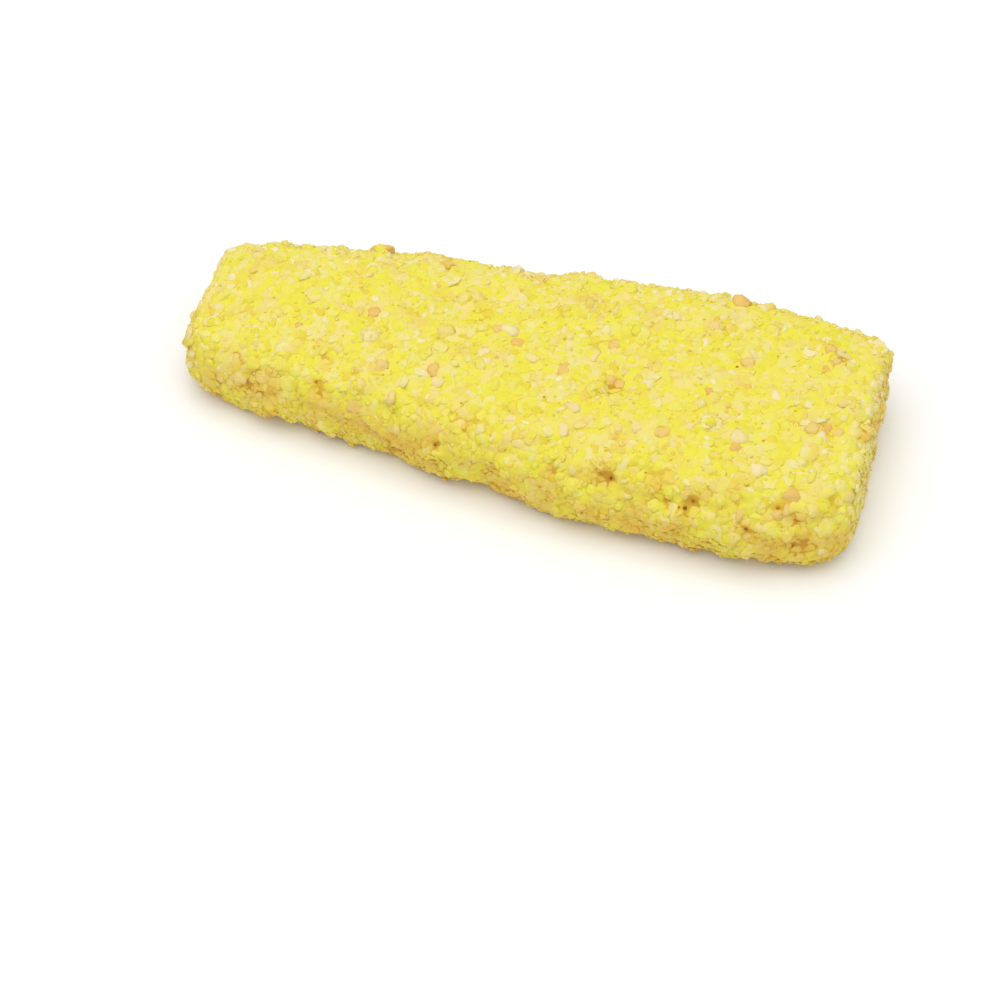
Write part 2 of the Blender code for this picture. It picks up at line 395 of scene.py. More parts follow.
def relief_tree():
    """Raises cells with gaps between them, and stores each place's height and tone."""
    tree, given, result = new_tree("crust_relief", (
        ("Geometry", "Geometry"),
        ("Crumb pitch", "Float"),
        ("Crumb height", "Float"),
        ("Crumb level", "Float"),
        ("Side level", "Float"),
        ("Grain pitch", "Float"),
        ("Grain height", "Float"),
        ("Lowest", "Float"),
        ("Material", "Material"),
    ))
    position = add_node(tree, "GeometryNodeInputPosition", {})
    normal = add_node(tree, "GeometryNodeInputNormal", {})
    density = add_node(tree, MATH, (1.0, given["Crumb pitch"]), operation="DIVIDE")
    cells = {"Vector": position, "Scale": density}
    gaps = add_node(tree, "ShaderNodeTexVoronoi", cells, feature="DISTANCE_TO_EDGE")
    cell_colour = add_node(tree, "ShaderNodeTexVoronoi", cells).outputs["Color"]
    own = add_node(tree, "ShaderNodeSeparateXYZ", (cell_colour,)).outputs
    steep = add_node(tree, MATH, (gaps, PLATEAU_STEEPNESS), operation="MULTIPLY")
    plateau = add_node(tree, MATH, (steep, 1.0), operation="MINIMUM")
    own_height = add_node(
        tree, MATH, (own["X"], OWN_HEIGHT, 1.0 - OWN_HEIGHT), operation="MULTIPLY_ADD"
    )
    share = add_node(tree, MATH, (plateau, own_height), operation="MULTIPLY")
    grain_density = add_node(tree, MATH, (1.0, given["Grain pitch"]), operation="DIVIDE")
    grain = add_node(tree, "ShaderNodeTexNoise", {
        "Vector": position,
        "Scale": grain_density,
        "Detail": 3.0,
    })

    facing = add_node(tree, "ShaderNodeSeparateXYZ", (normal,)).outputs["Z"]
    lying = add_node(tree, "ShaderNodeClamp", (facing,))
    side_level = given["Side level"]
    change = add_node(tree, MATH, (given["Crumb level"], side_level), operation="SUBTRACT")
    level = add_node(tree, MATH, (lying, change, side_level), operation="MULTIPLY_ADD")
    raised = add_node(tree, MATH, (share, given["Crumb height"], level), operation="MULTIPLY_ADD")
    raised = add_node(tree, MATH, (grain, given["Grain height"], raised), operation="MULTIPLY_ADD")
    offset = add_node(tree, "ShaderNodeVectorMath", {0: normal, "Scale": raised}, operation="SCALE")
    moved = add_node(tree, "ShaderNodeVectorMath", (position, offset))
    lowest = given["Lowest"]
    lifted = add_node(tree, MATH, (share, lowest, lowest), operation="MULTIPLY_ADD")
    stored = add_node(tree, "GeometryNodeStoreNamedAttribute", {
        "Geometry": given["Geometry"],
        "Name": "height",
        "Value": share,
    })
    stored = add_node(tree, "GeometryNodeStoreNamedAttribute", {
        "Geometry": stored,
        "Name": "tone",
        "Value": own["Y"],
    })
    placed = add_node(tree, "GeometryNodeSetPosition", {
        "Geometry": stored,
        "Position": pressed_up(tree, moved, lifted),
    })
    close_tree(tree, given, placed, result)
    return tree


crust_relief = relief_tree()
print("nodes in the relief tree:", len(crust_relief.nodes))


# %% Setting a tree's inputs, and taking its result
def set_inputs(modifier, **values):
    """Sets a tree's inputs by their sockets' identifiers. An underscore stands for a space."""
    known = {
        item.name: item.identifier
        for item in modifier.node_group.interface.items_tree
        if item.in_out == "INPUT"
    }
    for name, value in values.items():
        modifier[known[name.replace("_", " ")]] = value


def finished(obj, name):
    """The object's evaluated shape as a plain mesh object at the origin."""
    bpy.context.view_layer.update()
    graph = bpy.context.evaluated_depsgraph_get()
    mesh = bpy.data.meshes.new_from_object(
        obj.evaluated_get(graph), preserve_all_data_layers=True, depsgraph=graph
    )
    mesh.name = name
    return in_scene(name, mesh)


# %% Make the even core
SAME_PLACE = 0.001 * MM
GRID = 0.42 * MM
MELTING_STEPS = 10
MELTING_FACTOR = 0.5

frame_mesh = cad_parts[NODE].data.copy()
merged = bmesh.new()
merged.from_mesh(frame_mesh)
bmesh.ops.remove_doubles(merged, verts=merged.verts, dist=SAME_PLACE)
merged.to_mesh(frame_mesh)
merged.free()
form = in_scene("form", frame_mesh)
remesh = form.modifiers.new("even_grid", "REMESH")
remesh.mode = "VOXEL"
remesh.voxel_size = GRID
melt = form.modifiers.new("melt", "SMOOTH")
melt.factor = MELTING_FACTOR
melt.iterations = MELTING_STEPS
survey = form.modifiers.new("survey", "NODES")
survey.node_group = crust_survey
set_inputs(
    survey,
    Swell=0.35 * MM,
    Blur_steps=50,
    Full_depth=0.45 * MM,
    Patch_size=5.0 * MM,
    Patch_level=0.53,
    Patch_contrast=2.6,
    # painted shade on the sides, mixed with their frying
    Side_toast=0.52,
    Lump_size=3.5 * MM,
    Lump_height=1.8 * MM,
    Material=batter,
)
core = finished(form, "core")
bpy.data.objects.remove(form)
print("core grid, faces:", len(core.data.polygons))

# %% [markdown]
# Rusk crumbs are dry bread, milled and sieved: chunky, with flat broken sides and blunt corners.
# A ball cut by a few random planes is just that. Only the broad flakes get a fine ball. The rusk
# and fine shapes have a few dozen faces, because they are used thousands of times, and a handful
# of each is enough, since every copy is also turned, squeezed and sunk by random amounts.

# %% Shapes of single crumbs
SHAPES_OF_A_KIND = 7
BROKEN_EDGE = math.radians(28)
CUT_DISTANCES = (0.60, 0.95)
GLANCING = 0.2
UNEVEN_WAVES = 2.5
FARTHEST_SHIFT = 50


def random_direction(draw):
    """A unit vector, as likely to point one way as another."""
    turn = draw.uniform(0, 2 * math.pi)
    height = draw.uniform(-1, 1)
    wide = math.sqrt(1 - height * height)
    return Vector((wide * math.cos(turn), wide * math.sin(turn), height))


def broken_ball(draw, subdivisions, cuts, roughness):
    """A bmesh ball of diameter 1, cut by planes and a little uneven. It knows its rise."""
    planes = [(random_direction(draw), draw.uniform(*CUT_DISTANCES)) for _ in range(cuts)]
    shift = Vector((draw.uniform(0, FARTHEST_SHIFT), 0, 0))
    ball = bmesh.new()
    bmesh.ops.create_icosphere(ball, subdivisions=subdivisions, radius=1.0)
    for vert in ball.verts:
        heading = vert.co.normalized()
        reach = min([1.0] + [
            distance / heading.dot(normal)
            for normal, distance in planes
            if heading.dot(normal) > GLANCING
        ])
        uneven = noise.noise(heading * UNEVEN_WAVES + shift)
        vert.co = heading * reach * (1 + roughness * uneven)
    longest = max(vert.co.length for vert in ball.verts)
    rise_layer = ball.verts.layers.float.new("rise")
    for vert in ball.verts:
        vert.co *= 0.5 / longest
        vert[rise_layer] = 2 * vert.co.z
    for face in ball.faces:
        face.smooth = True
    return ball


def shape_collection(name, seed, subdivisions, cuts, roughness):
    """A set of crumb shapes, out of the scene, for a scatter to choose from."""
    draw = random.Random(seed)
    shapes = bpy.data.collections.new(name)
    for index in range(SHAPES_OF_A_KIND):
        mesh = bpy.data.meshes.new(f"{name}_{index}")
        ball = broken_ball(draw, subdivisions, cuts, roughness)
        ball.to_mesh(mesh)
        ball.free()
        mesh.set_sharp_from_angle(angle=BROKEN_EDGE)
        shapes.objects.link(bpy.data.objects.new(f"{name}_{index}", mesh))
    return shapes


fine_shapes = shape_collection("fine_shape", seed=11, subdivisions=1, cuts=3, roughness=0.2)
rusk_shapes = shape_collection("rusk_shape", seed=12, subdivisions=2, cuts=7, roughness=0.25)
chunk_shapes = shape_collection("chunk_shape", seed=13, subdivisions=3, cuts=10, roughness=0.3)

# %% [markdown]
# Dry crumb is white bread that has drawn a little yellow oil, so most are cream to pale yellow.
# Each crumb carries a number of its own, its tone, and the share by which frying has browned it,
# its toast, which also carries painted shade. Toasting is strongest round the rims and down the
# sides, where the crust touched the pan, and it comes in patches; down the sides, in hollows and
# round pits it is also painted shade. Each point of a crumb also knows its rise, from -1 at its
# foot to 1 at its crown: the foot is soaked in batter, and so it is yellower, and its darker ochre
# is also painted shade where the crumbs meet.

# %% Materials of the crumbs
CRUMB_CLOUD_MM = 5.0
CRUMB_CLOUD_TINT = 1.4
CRUMB_GRAIN_MM = 0.3
CRUMB_GRAIN_DEPTH_MM = 0.06
CRUMB_BUMP = 0.06
SOAK_AND_SHADE_AT_MIDDLE = 0.50
SOAK_AND_SHADE_FALL = -0.80


def rusk_crumb(name, tones, toast_and_shade_colour, foot_colour, toast_and_shade_foot_colour):
    """Matt, floury crumb: tone picks a colour, toast browns it and paints shade; foot is soaked."""
    material, tree, shader = new_food_material(name)
    stored = {
        field: add_node(tree, "ShaderNodeAttribute", {}, attribute_name=field).outputs["Fac"]
        for field in ("tone", "toast", "rise")
    }
    place = add_node(tree, "ShaderNodeTexCoord", {}).outputs["Object"]
    clouds = add_node(tree, "ShaderNodeTexNoise", {
        "Vector": place,
        "Scale": 1 / (CRUMB_CLOUD_MM * MM),
        "Detail": 2.0,
    })
    drift = add_node(tree, MATH, (
        clouds, CRUMB_CLOUD_TINT, -CRUMB_CLOUD_TINT * NOISE_MEAN,
    ), operation="MULTIPLY_ADD")
    tone = add_node(tree, MATH, (stored["tone"], drift), operation="ADD")
    crown = add_node(tree, "ShaderNodeMix", {
        SHARE: stored["toast"],
        FIRST: add_node(tree, "ShaderNodeValToRGB", (tone,), stops=tones),
        SECOND: linear(toast_and_shade_colour),
    }, data_type="RGBA").outputs[MIXED]
    # The foot's colour is soaked batter and also painted shade where the crumbs meet
    soaked_and_shaded = add_node(
        tree, MATH, (stored["rise"], SOAK_AND_SHADE_FALL, SOAK_AND_SHADE_AT_MIDDLE), operation="MULTIPLY_ADD"
    )
    foot = add_node(tree, "ShaderNodeMix", {
        SHARE: stored["toast"],
        FIRST: linear(foot_colour),
        SECOND: linear(toast_and_shade_foot_colour),
    }, data_type="RGBA").outputs[MIXED]
    colour = add_node(tree, "ShaderNodeMix", {
        SHARE: soaked_and_shaded, FIRST: crown, SECOND: foot,
    }, data_type="RGBA").outputs[MIXED]
    finish_food(
        tree, shader, place, colour, CRUMB_GRAIN_MM, CRUMB_GRAIN_DEPTH_MM, CRUMB_BUMP
    )
    return material


# Dry white rusk, which the oil has barely reached, gives the pale cream flecks
pale_rusk = rusk_crumb("pale_rusk", (
    (0.05, "E8DE56"), (0.35, "E9DE6E"), (0.65, "EADD84"), (0.90, "EBDE98"), (1.00, "EEE1AC"),
), toast_and_shade_colour="E6C054", foot_colour="E0CE46", toast_and_shade_foot_colour="D0A43A")
# Rusk that lay in the batter has drawn its yolk yellow, and gives the crust its colour
golden_rusk = rusk_crumb("golden_rusk", (
    (0.05, "E5D446"), (0.35, "E7DC4E"), (0.70, "E9DC62"), (1.00, "EADA78"),
), toast_and_shade_colour="E2BA44", foot_colour="DECA3C", toast_and_shade_foot_colour="CA9C30")
# Rusk that stood out into the hot oil has browned to peach and light orange
toasted_rusk = rusk_crumb("toasted_rusk", (
    (0.10, "E9D684"), (0.45, "E8CE78"), (0.80, "E7C46C"), (1.00, "E6B861"),
), toast_and_shade_colour="E6B466", foot_colour="E2BC66", toast_and_shade_foot_colour="D8A458")
# Drops of batter and bits of dark crust have burnt from ochre to a deep brown
burnt_batter = rusk_crumb("burnt_batter", (
    (0.00, "DEB646"), (0.30, "D2A034"), (0.60, "B07C20"), (1.00, "6A3C0C"),
), toast_and_shade_colour="B88428", foot_colour="C08E2C", toast_and_shade_foot_colour="9A6418")
print("made materials:", [
    material.name for material in (pale_rusk, golden_rusk, toasted_rusk, burnt_batter)
])

# %% [markdown]
# One tree scatters every kind of crumb, and it is built in four steps. First come the draws:
# random numbers that make each crumb different from its neighbours. They all start from one
# seed, so the same crust comes out each time.

# %% What each crumb draws
THICKNESS_SPREAD = 0.22
NARROWEST = 0.62
TOAST_DRAWS = (-0.25, 0.30)
JUST_UNDER = 0.01


def crumb_draws(tree, given):
    """Random values by name, one for each point."""
    tilt = given["Tilt"]
    lean = add_node(tree, MATH, (tilt, -1.0), operation="MULTIPLY")
    thinnest = given["Thinnest"]
    thickest = add_node(tree, MATH, (thinnest, THICKNESS_SPREAD), operation="ADD")
    own = {}
    for step, (name, low, high) in enumerate((
        ("chance", 0.0, 1.0),
        ("tone", 0.0, 1.0),
        ("toast", *TOAST_DRAWS),
        ("size", 0.0, 1.0),
        ("breadth", NARROWEST, 1.0),
        ("thickness", thinnest, thickest),
        ("tilt over x", lean, tilt),
        ("tilt over y", lean, tilt),
        ("turn", -math.pi, math.pi),
        ("shape", 0.0, SHAPES_OF_A_KIND - JUST_UNDER),
    )):
        seed = add_node(tree, MATH, (given["Seed"], step + 1), operation="ADD")
        draw = {LOW: low, HIGH: high, "Seed": seed}
        own[name] = add_node(tree, "FunctionNodeRandomValue", draw).outputs[DRAWN]
    return own


# %% [markdown]
# Second, the points. They are spread on the smooth core at least a spacing apart, since two
# crumbs can't lie in one place. Some are taken away again: those near the large crumbs, which
# are placed one by one, a share of the top and near side, a share of the underside, where the tray
# has rubbed crumbs off, and the bare patches.

# %% Where the crumbs lie
TRIES_PER_PLACE = 5.0
SEEN_FROM = 0.5
BARE_PATCH_MM = 8.0
UNDERSIDE_FROM = -0.6
UNDERSIDE_SHARE = 0.45


def crumb_points(tree, given, chance):
    """The points that keep a crumb, the normal there and the normal's parts."""
    spacing = given["Spacing"]
    place_area = add_node(tree, MATH, (spacing, spacing), operation="MULTIPLY")
    spread = add_node(tree, "GeometryNodeDistributePointsOnFaces", {
        "Mesh": given["Crust"],
        "Distance Min": spacing,
        "Density Max": add_node(tree, MATH, (TRIES_PER_PLACE, place_area), operation="DIVIDE"),
        "Seed": given["Seed"],
    }, distribute_method="POISSON")
    normal = spread.outputs["Normal"]
    facing = add_node(tree, "ShaderNodeSeparateXYZ", (normal,)).outputs

    large = add_node(tree, "GeometryNodeObjectInfo", {"Object": given["Large crumbs"]})
    gap = add_node(
        tree, "GeometryNodeProximity", (large.outputs["Geometry"],), target_element="POINTS"
    ).outputs["Distance"]
    crowded = add_node(tree, MATH, (gap, given["Clearance"]), operation="LESS_THAN")
    outward = add_node(tree, MATH, (facing["Z"], facing["Y"]), operation="SUBTRACT")
    seen = add_node(tree, MATH, (outward, SEEN_FROM), operation="GREATER_THAN")
    unlucky = add_node(tree, MATH, (chance, given["Top share"]), operation="GREATER_THAN")
    spared = add_node(tree, MATH, (seen, unlucky), operation="MULTIPLY")
    wear = add_node(tree, "ShaderNodeTexNoise", {
        "Vector": add_node(tree, "GeometryNodeInputPosition", {}),
        "Scale": 1 / (BARE_PATCH_MM * MM),
        "Detail": 2.0,
    })
    bare = add_node(tree, MATH, (wear, given["Bare from"]), operation="GREATER_THAN")
    under = add_node(tree, MATH, (facing["Z"], UNDERSIDE_FROM), operation="LESS_THAN")
    rubbed = add_node(tree, MATH, (chance, UNDERSIDE_SHARE), operation="GREATER_THAN")
    rubbed = add_node(tree, MATH, (under, rubbed), operation="MULTIPLY")
    spared = add_node(tree, MATH, (spared, rubbed), operation="MAXIMUM")
    free = add_node(tree, MATH, (crowded, spared), operation="MAXIMUM")
    free = add_node(tree, MATH, (free, bare), operation="MAXIMUM")
    kept = add_node(tree, "GeometryNodeDeleteGeometry", (spread, free), domain="POINT")
    return kept, normal, facing


# %% [markdown]
# Third, the colour. Tone runs from yolk yellow to cream, and toast from none to brown. Crumbs
# are made yellower and browner in a hollow, as painted shade, and much browner round a pit,
# partly as browning and partly as painted shade. The ends stay paler. The near side is made
# yellower than the far one, as painted shade.

# %% How each crumb is coloured
HOLLOW_SHADE_YELLOWING = 0.6
HOLLOW_SHADE_BROWNING = 0.3
PIT_TOAST_AND_SHADE = 1.2
END_PALENESS = 0.55
NEAR_SIDE_SHADE = 0.40


def coloured_points(tree, points, own, facing):
    """The points, with their crumbs' tone and toast, painted shade included, stored on them."""
    survey = {
        field: add_node(tree, "GeometryNodeInputNamedAttribute", {"Name": field})
        for field in ("hollow", "fried", "pit")
    }
    hollow = survey["hollow"]
    at_end = add_node(tree, MATH, (facing["X"],), operation="ABSOLUTE")
    # Painted shade in hollows: a yellower tone here, and more toast further down
    tone = add_node(tree, MATH, (hollow, -HOLLOW_SHADE_YELLOWING, own["tone"]), operation="MULTIPLY_ADD")
    tone = add_node(tree, MATH, (at_end, END_PALENESS, tone), operation="MULTIPLY_ADD")
    # Painted shade: crumbs on the near side are made yellower than on the far one
    tone = add_node(tree, MATH, (facing["Y"], NEAR_SIDE_SHADE, tone), operation="MULTIPLY_ADD")
    # The toast also carries painted shade from the sides, the hollows and the pits
    toast = add_node(tree, MATH, (own["toast"], survey["fried"]), operation="ADD")
    toast = add_node(tree, MATH, (hollow, HOLLOW_SHADE_BROWNING, toast), operation="MULTIPLY_ADD")
    # Round a pit the crumbs brown, partly as browning and partly as painted shade
    toast = add_node(tree, MATH, (survey["pit"], PIT_TOAST_AND_SHADE, toast), operation="MULTIPLY_ADD")
    toast = add_node(tree, MATH, (at_end, -END_PALENESS / 2, toast), operation="MULTIPLY_ADD")
    for name, value in (("tone", tone), ("toast", add_node(tree, "ShaderNodeClamp", (toast,)))):
        points = add_node(tree, "GeometryNodeStoreNamedAttribute", {
            "Geometry": points,
            "Name": name,
            "Value": value,
        })
    return points


# %% [markdown]
# Fourth, the size and the seat. Milled crumbs are small more often than large, which a power
# above one gives, and on the sides, where large crumbs fall off, all are smaller. Each crumb is
# then sunk along the normal by a share of its own size.

# %% How large each crumb is, and how deep it sits
SMALL_FAVOUR = 1.6
SIDE_SHRINK = 0.45


def crumb_size(tree, given, own, lying):
    """The length of each crumb, from its draw and from how level the crust is there."""
    growth = add_node(tree, MATH, (given["Largest"], given["Smallest"]), operation="SUBTRACT")
    share = add_node(tree, MATH, (own["size"], SMALL_FAVOUR), operation="POWER")
    size = add_node(tree, MATH, (share, growth, given["Smallest"]), operation="MULTIPLY_ADD")
    shrink = add_node(
        tree, MATH, (lying, SIDE_SHRINK, 1.0 - SIDE_SHRINK), operation="MULTIPLY_ADD"
    )
    return add_node(tree, MATH, (size, shrink), operation="MULTIPLY")


def seated_points(tree, given, points, normal, lying, size):
    """The points, moved inwards by the sunk share of their crumb."""
    side_sunk = given["Side sunk"]
    deeper = add_node(tree, MATH, (given["Sunk"], side_sunk), operation="SUBTRACT")
    sunk = add_node(tree, MATH, (lying, deeper, side_sunk), operation="MULTIPLY_ADD")
    depth = add_node(tree, MATH, (size, sunk), operation="MULTIPLY")
    below = add_node(tree, MATH, (depth, -1.0), operation="MULTIPLY")
    offset = add_node(tree, "ShaderNodeVectorMath", {0: normal, "Scale": below}, operation="SCALE")
    return add_node(tree, "GeometryNodeSetPosition", {"Geometry": points, "Offset": offset})


# %% [markdown]
# The four steps meet in the tree. Each point gets one crumb, laid with its flat side on the
# surface, tilted a little and turned. What would hang below the tray is pressed up to it, each
# crumb to a height of its own, so that the underside isn't one flat sheet.

# %% The scatter as a tree of nodes
TRAY_UNEVENNESS = 0.1 * MM


def scatter_tree():
    """Points on the crust, each with a crumb of its own."""
    tree, given, result = new_tree("crumb_scatter", (
        ("Crust", "Geometry"),
        ("Shapes", "Collection"),
        ("Large crumbs", "Object"),
        ("Clearance", "Float"),
        ("Spacing", "Float"),
        ("Seed", "Int"),
        ("Smallest", "Float"),
        ("Largest", "Float"),
        ("Thinnest", "Float"),
        ("Sunk", "Float"),
        ("Side sunk", "Float"),
        ("Bare from", "Float"),
        ("Tilt", "Float"),
        ("Top share", "Float"),
        ("Material", "Material"),
    ))
    own = crumb_draws(tree, given)
    points, normal, facing = crumb_points(tree, given, own["chance"])
    points = coloured_points(tree, points, own, facing)
    lying = add_node(tree, "ShaderNodeClamp", (facing["Z"],))
    size = crumb_size(tree, given, own, lying)
    turned = add_node(tree, "ShaderNodeCombineXYZ", (
        own["tilt over x"], own["tilt over y"], own["turn"],
    ))
    laid = add_node(tree, "FunctionNodeAlignRotationToVector", {"Vector": normal}, axis="Z")
    rotation = add_node(tree, "FunctionNodeRotateRotation", (laid, turned), rotation_space="LOCAL")
    scale = add_node(tree, "ShaderNodeCombineXYZ", (
        size,
        add_node(tree, MATH, (size, own["breadth"]), operation="MULTIPLY"),
        add_node(tree, MATH, (size, own["thickness"]), operation="MULTIPLY"),
    ))
    shapes = add_node(tree, "GeometryNodeCollectionInfo", {
        "Collection": given["Shapes"],
        "Separate Children": True,
        "Reset Children": True,
    })
    placed = add_node(tree, "GeometryNodeInstanceOnPoints", {
        "Points": seated_points(tree, given, points, normal, lying, size),
        "Instance": shapes,
        "Pick Instance": True,
        "Instance Index": add_node(tree, MATH, (own["shape"],), operation="FLOOR"),
        "Rotation": rotation,
        "Scale": scale,
    })
    joined = add_node(tree, "GeometryNodeRealizeInstances", (placed,))
    own_tone = add_node(tree, "GeometryNodeInputNamedAttribute", {"Name": "tone"})
    lowest = add_node(tree, MATH, (own_tone, TRAY_UNEVENNESS), operation="MULTIPLY")
    lowest = add_node(tree, MATH, (lowest, 0.0), operation="MAXIMUM")
    position = add_node(tree, "GeometryNodeInputPosition", {})
    pressed = add_node(tree, "GeometryNodeSetPosition", {
        "Geometry": joined,
        "Position": pressed_up(tree, position, lowest),
    })
    close_tree(tree, given, pressed, result)
    return tree


scatter = scatter_tree()
print("nodes in the scatter tree:", len(scatter.nodes))

# %% [markdown]
# The crumbs that catch the eye in the photograph: the big pale ones, the peach and orange ones
# that have browned, the dark specks in the cracks, and the ochre pits, partly browned batter and
# partly painted shade.
# Each is a mark: the pixel where it is seen, across and down, and its real diameter in
# millimetres. A ray from the camera through that pixel finds its seat on the crust, so the crumb
# lies on the bar from every side.

# %% Marks of the crumbs seen in the photograph
PALE_CHUNKS = (
    (510, 330, 2.5), (532, 357, 2.3), (496, 375, 1.8), (607, 329, 2.0), (590, 355, 3.0),
    (445, 331, 2.6), (739, 438, 2.7), (757, 469, 2.9), (854, 426, 1.9), (339, 348, 1.9),
    (438, 383, 2.3), (706, 465, 1.8), (575, 408, 2.4), (563, 430, 2.2), (484, 352, 1.9),
)
TOASTED_CHUNKS = (
    (383, 244, 3.2), (741, 301, 2.3), (373, 312, 2.2), (497, 328, 1.9), (434, 369, 2.7),
    (381, 365, 2.0), (615, 345, 2.0), (564, 369, 2.2), (611, 378, 1.8), (625, 372, 1.6),
    (619, 384, 1.6), (709, 391, 1.8), (749, 362, 2.0), (831, 350, 1.5), (835, 362, 1.7),
    (661, 432, 2.2), (736, 447, 1.9), (812, 428, 1.8), (826, 430, 2.4), (838, 433, 1.8),
    (876, 430, 2.1), (239, 376, 2.3), (354, 407, 2.4), (376, 436, 2.3), (362, 425, 1.9),
    (518, 342, 2.2), (740, 515, 2.0), (791, 497, 2.4), (850, 497, 2.3), (747, 558, 2.3),
    (776, 515, 1.7), (787, 510, 1.6), (390, 398, 2.0), (297, 325, 1.4),
)
DARK_SPECKS = (
    (316, 382, 0.7), (299, 238, 0.7), (435, 445, 0.5), (461, 403, 0.4), (544, 397, 0.4),
    (590, 331, 0.3), (685, 508, 0.9), (693, 501, 0.7), (679, 507, 0.6), (799, 550, 0.8),
    (793, 546, 0.6), (746, 529, 0.7), (778, 508, 0.7), (611, 478, 0.6), (645, 473, 0.6),
)
OCHRE_PITS = (
    (319, 392, 0.8), (599, 345, 0.7), (464, 334, 0.6), (561, 310, 0.8), (459, 419, 1.0),
    (479, 416, 1.1), (615, 386, 0.9), (866, 432, 0.9), (668, 503, 0.8), (792, 520, 0.8),
    (648, 473, 0.9), (654, 481, 0.9), (636, 470, 0.9), (662, 476, 0.8), (706, 490, 0.7),
    (836, 500, 0.8), (798, 491, 0.7), (248, 386, 0.8), (842, 360, 0.5), (604, 474, 0.9),
    (560, 449, 0.9), (550, 472, 0.8), (712, 476, 0.6), (769, 512, 0.9), (784, 503, 0.8),
    (805, 545, 0.8), (240, 360, 0.7), (352, 372, 0.6), (395, 452, 0.9), (470, 432, 0.8),
)
LARGE_MARKS = PALE_CHUNKS + TOASTED_CHUNKS + DARK_SPECKS
print("marks of crumbs and specks:", len(LARGE_MARKS), "and of pits:", len(OCHRE_PITS))

# %% The seat of a mark on the core
RIM_SEARCH_MM = 70


def search_tree():
    """The core as it is now, ready to be searched with rays."""
    return BVHTree.FromPolygons(
        [vert.co for vert in core.data.vertices], [face.vertices for face in core.data.polygons]
    )


def seat_at(x, y):
    """Where the ray through a pixel meets the core, or passes nearest, and the normal there."""
    ray = pixel_ray(x, y)
    spot, normal, _, _ = core_tree.ray_cast(eye, ray)
    if spot is None:
        steps = range(-RIM_SEARCH_MM, RIM_SEARCH_MM)
        along = [eye + ray * (DISTANCE + step * MM) for step in steps]
        spot, normal, _, _ = min(map(core_tree.find_nearest, along), key=lambda found: found[3])
    return spot, normal


core_tree = search_tree()
middle, _ = seat_at(*AIM_PIXEL)
print("the pixel of the aim lies on the bar at, mm:", in_mm(middle))

# %% [markdown]
# Oil collects and overheats in a pit of the crust, so the batter goes ochre there, and a dark
# speck may sit in it. The core is dented at these marks and gets one more attribute, the pit,
# which fades out from them. Both the batter and the crumbs turn towards ochre by it, partly as
# browning and partly as painted shade in the pit. On the level top the pits are shallow.

# %% Dent the core at the pits
PIT_REACH = 1.7
PIT_DEPTH = 0.5 * MM
PIT_LEVELLING = 0.5
IN_A_PIT = 0.3

pit = numpy.zeros(len(core.data.vertices))
core_spots = numpy.array([vert.co for vert in core.data.vertices])
for x, y, diameter in DARK_SPECKS + OCHRE_PITS:
    spot, normal = seat_at(x, y)
    away = numpy.linalg.norm(core_spots - numpy.array(spot), axis=1)
    strength = 1 - PIT_LEVELLING * max(normal.z, 0)
    fading = numpy.exp(-(away / (PIT_REACH * diameter * MM)) ** 2)
    pit = numpy.maximum(pit, strength * fading)
inward = numpy.array([-vert.normal for vert in core.data.vertices])
dented = core_spots + inward * (PIT_DEPTH * pit)[:, None]
core.data.vertices.foreach_set("co", dented.astype(numpy.float32).ravel())
# The pit dents the core and colours it ochre, partly browning and partly painted shade
core.data.attributes.new("pit", "FLOAT", "POINT").data.foreach_set("value", pit)
core.data.update()
core_tree = search_tree()
print("vertices in pits:", int((pit > IN_A_PIT).sum()))

# %% [markdown]
# The large crumbs are few, so each gets a shape of its own and not one of the shared ones. The
# pale and toasted ones are wider than their marks, because a mark has only the width that stands
# out of the crust. The scattered crumbs keep clear of these marks, and of a ring of points round
# each, which grows with the crumb.

# %% Place the crumbs at their marks
CHUNK_SPREAD = 1.55
CHUNK_SUNK = 0.10
SPECK_SUNK = 0.05
CHUNK_CUTS = 9
CHUNK_ROUGHNESS = 0.3
CHUNK_BREADTHS = (0.75, 1)
CHUNK_THICKNESSES = (0.40, 0.60)
CHUNK_TOASTS = (0, 0.3)
ANY_TONE = (0.15, 0.95)
UPPER_TONES = (0.6, 1.0)
CLEARED_SHARE = 0.3
CLEARED_ROUND = 5


def placed_crumbs(name, marks, seed, subdivisions, spread, sunk, material, tones=ANY_TONE):
    """One mesh of the crumbs at these marks, each with its own tone and toast."""
    draw = random.Random(seed)
    joined = bmesh.new()
    tone_layer, toast_layer, rise_layer = (
        joined.verts.layers.float.new(field) for field in ("tone", "toast", "rise")
    )
    for x, y, diameter in marks:
        spot, normal = seat_at(x, y)
        ball = broken_ball(draw, subdivisions, CHUNK_CUTS, CHUNK_ROUGHNESS)
        ball_rise = ball.verts.layers.float["rise"]
        diameter *= spread
        breadth, thickness = draw.uniform(*CHUNK_BREADTHS), draw.uniform(*CHUNK_THICKNESSES)
        squeeze = Matrix.Diagonal((1, breadth, thickness, 1))
        turned = Matrix.Rotation(draw.uniform(0, 2 * math.pi), 4, "Z")
        laid = normal.to_track_quat("Z", "Y").to_matrix().to_4x4()
        seat = Matrix.Translation(spot - normal * diameter * MM * sunk)
        ball.transform(seat @ laid @ turned @ squeeze @ Matrix.Scale(diameter * MM, 4))
        tone, toast = draw.uniform(*tones), draw.uniform(*CHUNK_TOASTS)
        copies = {
            vert: joined.verts.new((vert.co.x, vert.co.y, max(vert.co.z, 0)))
            for vert in ball.verts
        }
        for vert, copy in copies.items():
            copy[tone_layer] = tone
            copy[toast_layer] = toast
            copy[rise_layer] = vert[ball_rise]
        for face in ball.faces:
            joined.faces.new([copies[vert] for vert in face.verts]).smooth = True
        ball.free()
    mesh = bpy.data.meshes.new(name)
    joined.to_mesh(mesh)
    joined.free()
    mesh.materials.append(material)
    return in_scene(name, mesh)


